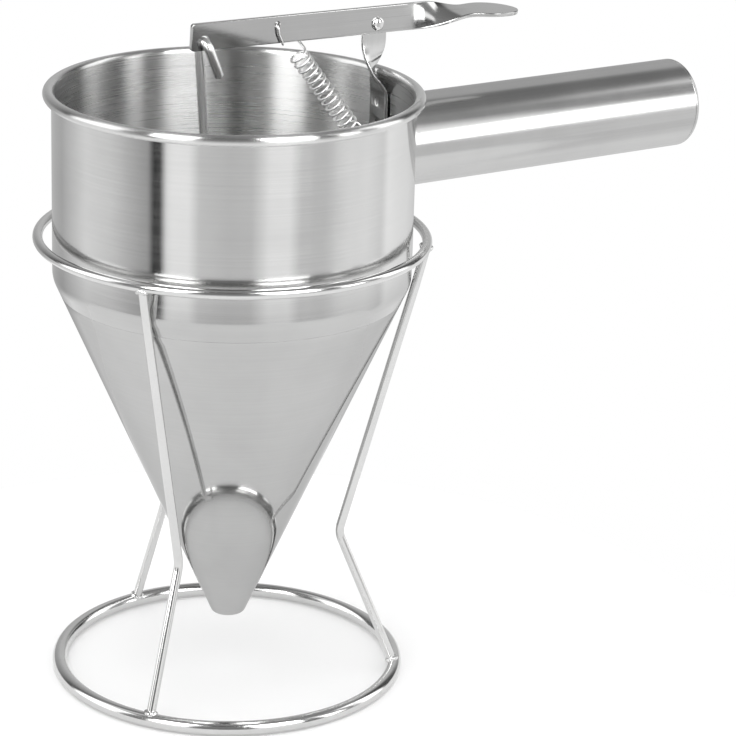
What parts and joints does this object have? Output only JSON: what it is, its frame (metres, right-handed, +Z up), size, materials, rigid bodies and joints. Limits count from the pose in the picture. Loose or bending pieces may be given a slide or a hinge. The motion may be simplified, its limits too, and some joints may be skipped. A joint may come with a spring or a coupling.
{
  "type": "dispensing funnel",
  "caption": "Steel dispensing funnel with a tube handle and a thumb lever that lifts a stopper rod against a return spring, resting in a legged wire stand.",
  "frame": {"origin": "on the table, under the middle of the whole object's box; the funnel and stand axis is the upright line 64.55 mm from it towards -X", "axes": "+Z up; +X along the handle and the lever, from the bowl to the handle's end; +Y to the side on which the rod and the bracket lie behind the lever"},
  "size_m": [0.273, 0.144, 0.2479],
  "materials": {
    "wall_steel": "satin polished sheet with fine vertical grain",
    "cone_steel": "satin polished sheet, slightly duller than the wall",
    "handle_steel": "satin polished tube with grain along its length",
    "lever_steel": "plain satin strip",
    "bracket_steel": "bright polished strip",
    "rivet_steel": "polished",
    "spring_steel": "bright drawn wire",
    "rod_steel": "bright drawn rod",
    "stopper_steel": "turned, fine rings",
    "wire_steel": "electropolished wire"
  },
  "bodies": {
    "stand": {"stand_top_ring": "wire_steel", "stand_base_ring": "wire_steel", "stand_leg_front": "wire_steel", "stand_leg_right": "wire_steel", "stand_leg_back": "wire_steel"},
    "funnel": {"bowl_wall": "wall_steel", "funnel_cone": "cone_steel", "handle_tube": "handle_steel", "handle_end_cap": "handle_steel", "pivot_bracket": "bracket_steel", "pivot_rivet": "rivet_steel", "return_spring": "spring_steel"},
    "lever": {"lever": "lever_steel"},
    "rod": {"lift_rod": "rod_steel", "stopper": "stopper_steel"}
  },
  "joints": [
    {"name": "funnel_lift", "type": "slide", "parent": "stand", "child": "funnel", "axis": [0, 0, 1], "range_m": [0, 0.16]},
    {"name": "lever_pivot", "type": "hinge", "parent": "funnel", "child": "lever", "pos_m": [-0.00482, 0, 0.24035], "axis": [0, 1, 0], "range_deg": [0, 20], "stiffness_Nm_per_rad": 0.8, "springref_deg": -17.19, "deforming": ["return_spring"]},
    {"name": "rod_swing", "type": "hinge", "parent": "lever", "child": "rod", "pos_m": [-0.07785, 0, 0.24097], "axis": [0, 1, 0], "range_deg": [-20, 0]}
  ],
  "couplings": [
    {"joint": "rod_swing", "follows": "lever_pivot", "ratio": -1}
  ]
}
